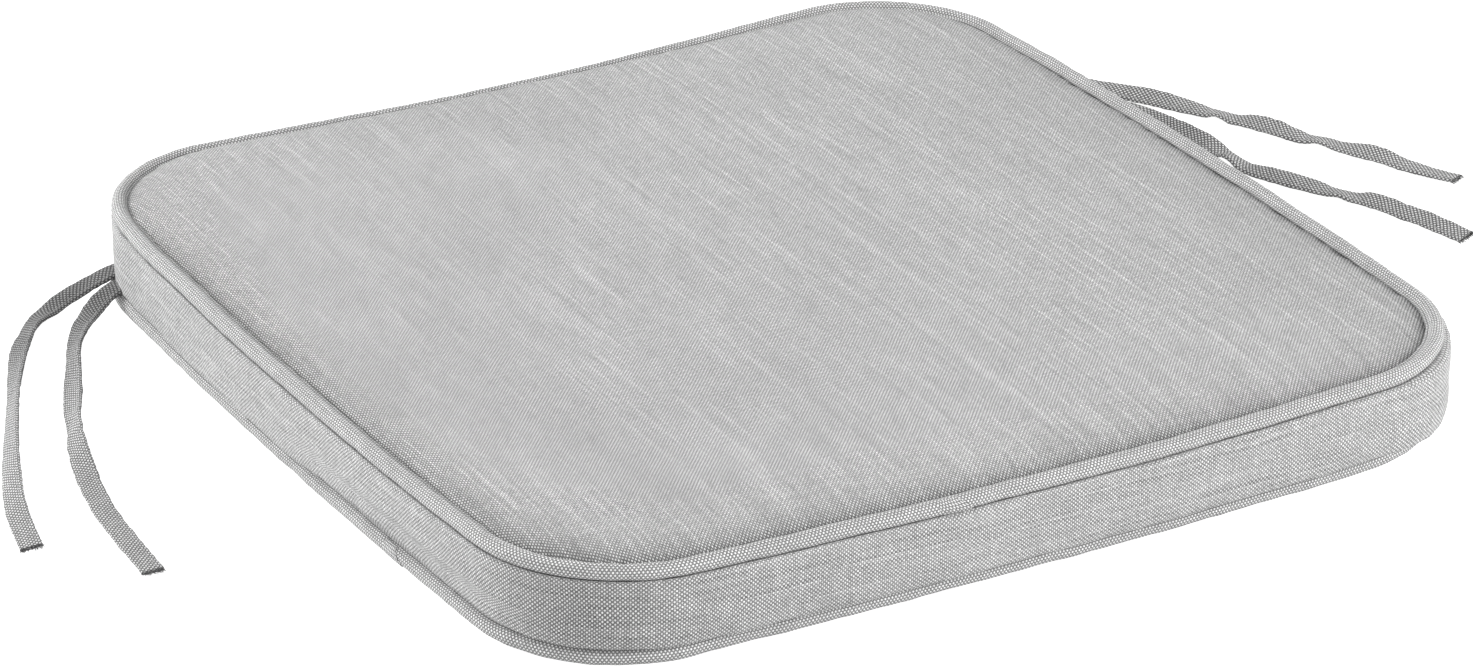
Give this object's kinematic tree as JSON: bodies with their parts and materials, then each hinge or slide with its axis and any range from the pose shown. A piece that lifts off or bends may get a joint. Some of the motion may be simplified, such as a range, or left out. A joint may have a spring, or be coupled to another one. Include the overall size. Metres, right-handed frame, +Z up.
{
  "type": "chair seat pad",
  "caption": "Square box-edged seat pad with rounded corners, piped top and bottom seams, a zipped rear edge and tie tapes at the rear corners.",
  "frame": {"origin": "middle of the pad's underside, on the surface it rests on (ties not counted)", "axes": "+Z up through the pad's thickness, -Y towards the front edge, +Y towards the rear edge with the zip and ties, +X to the right seen from the front"},
  "size_m": [0.6326, 0.4016, 0.0424],
  "materials": {
    "canvas": "light grey heathered outdoor canvas, plain basket weave, matte",
    "piping_canvas": "the same canvas, cut on the bias and folded round the piping cord, matte",
    "tie_canvas": "the same canvas folded into a flat stitched tape, raw cut ends",
    "foam": "open-cell polyurethane foam, cream",
    "wadding": "white polyester wadding",
    "piping_cord": "white twisted filler cord",
    "zip_tape": "grey woven polyester zip tape",
    "zip_coil": "grey polyester coil, satin",
    "zip_metal": "grey lacquered zinc, satin"
  },
  "bodies": {
    "root": {"foam_core": "foam", "wadding_bottom": "wadding", "wadding_top": "wadding", "top_panel": "canvas", "bottom_panel": "canvas", "boxing_band": "canvas", "rear_band_lower": "canvas", "rear_band_upper": "canvas", "top_piping_cover": "piping_canvas", "bottom_piping_cover": "piping_canvas", "top_piping_cord": "piping_cord", "bottom_piping_cord": "piping_cord", "zip_tape_upper": "zip_tape", "zip_tape_lower": "zip_tape", "zip_coil_upper": "zip_coil", "zip_coil_lower": "zip_coil", "zip_top_stop": "zip_metal", "zip_bottom_stop": "zip_metal", "tie_left_outer": "tie_canvas", "tie_left_inner": "tie_canvas", "tie_right_outer": "tie_canvas", "tie_right_inner": "tie_canvas"},
    "zip_slider": {"zip_slider": "zip_metal"},
    "zip_pull": {"zip_pull": "zip_metal"}
  },
  "joints": [
    {"name": "zip_slide", "type": "slide", "parent": "root", "child": "zip_slider", "axis": [-1, 0, 0], "range_m": [0, 0.178]},
    {"name": "zip_pull_hinge", "type": "hinge", "parent": "zip_slider", "child": "zip_pull", "pos_m": [0.089, 0.19772, 0.019], "axis": [0, 0, -1], "range_deg": [0, 170]}
  ]
}
